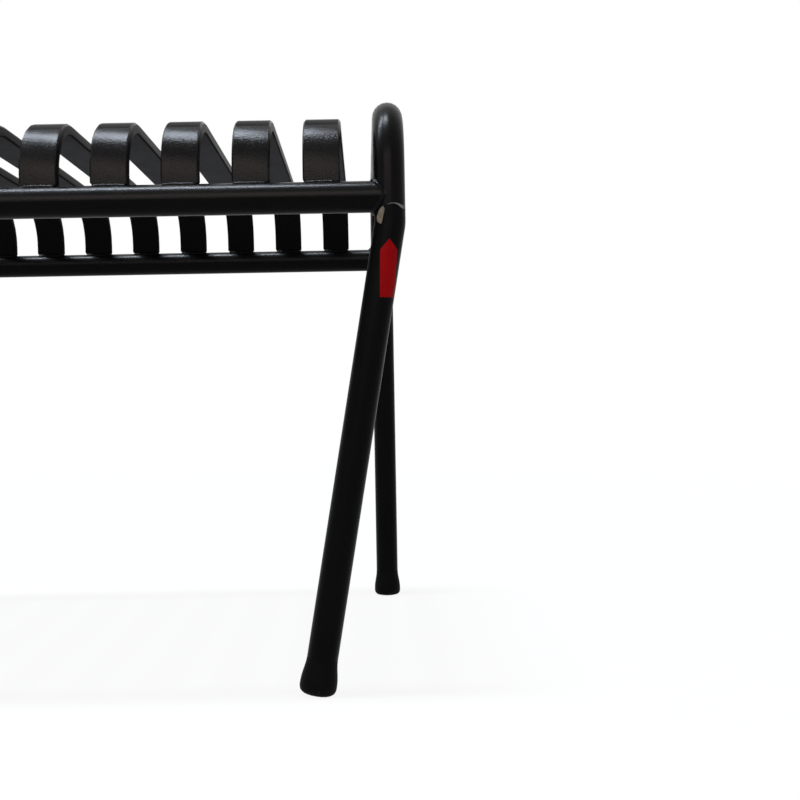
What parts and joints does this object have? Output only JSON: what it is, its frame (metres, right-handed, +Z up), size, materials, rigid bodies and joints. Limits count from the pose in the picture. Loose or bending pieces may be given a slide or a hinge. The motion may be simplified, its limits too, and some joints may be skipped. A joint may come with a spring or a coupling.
{
  "type": "garden bench",
  "caption": "Backless garden bench in black powder-coated steel: flat-bar slats bent down onto tube rails, with bent tube ends, tube legs and flared plastic feet.",
  "frame": {"origin": "on the floor, under the middle of the bench", "axes": "+X along the bench to the end that the picture shows, +Y from front to back, +Z up"},
  "size_m": [1.205, 0.425, 0.482],
  "materials": {
    "tube_coat": "satin black powder coat, fine orange peel",
    "slat_coat": "satin black powder coat, fine orange peel",
    "weld_coat": "satin black powder coat over a weld bead",
    "foot_plastic": "matte black moulded plastic"
  },
  "bodies": {
    "root": {"front_rail": "tube_coat", "back_rail": "tube_coat", "end_loop_left": "tube_coat", "end_loop_right": "tube_coat", "leg_front_left": "tube_coat", "leg_front_right": "tube_coat", "leg_back_left": "tube_coat", "leg_back_right": "tube_coat", "slat_01": "slat_coat", "slat_02": "slat_coat", "slat_03": "slat_coat", "slat_04": "slat_coat", "slat_05": "slat_coat", "slat_06": "slat_coat", "slat_07": "slat_coat", "slat_08": "slat_coat", "slat_09": "slat_coat", "slat_10": "slat_coat", "slat_11": "slat_coat", "slat_12": "slat_coat", "slat_13": "slat_coat", "slat_14": "slat_coat", "slat_15": "slat_coat", "slat_16": "slat_coat", "slat_17": "slat_coat", "slat_18": "slat_coat", "slat_19": "slat_coat", "slat_20": "slat_coat", "weld_front_left": "weld_coat", "weld_front_right": "weld_coat", "weld_back_left": "weld_coat", "weld_back_right": "weld_coat", "foot_front_left": "foot_plastic", "foot_front_right": "foot_plastic", "foot_back_left": "foot_plastic", "foot_back_right": "foot_plastic"}
  },
  "joints": []
}
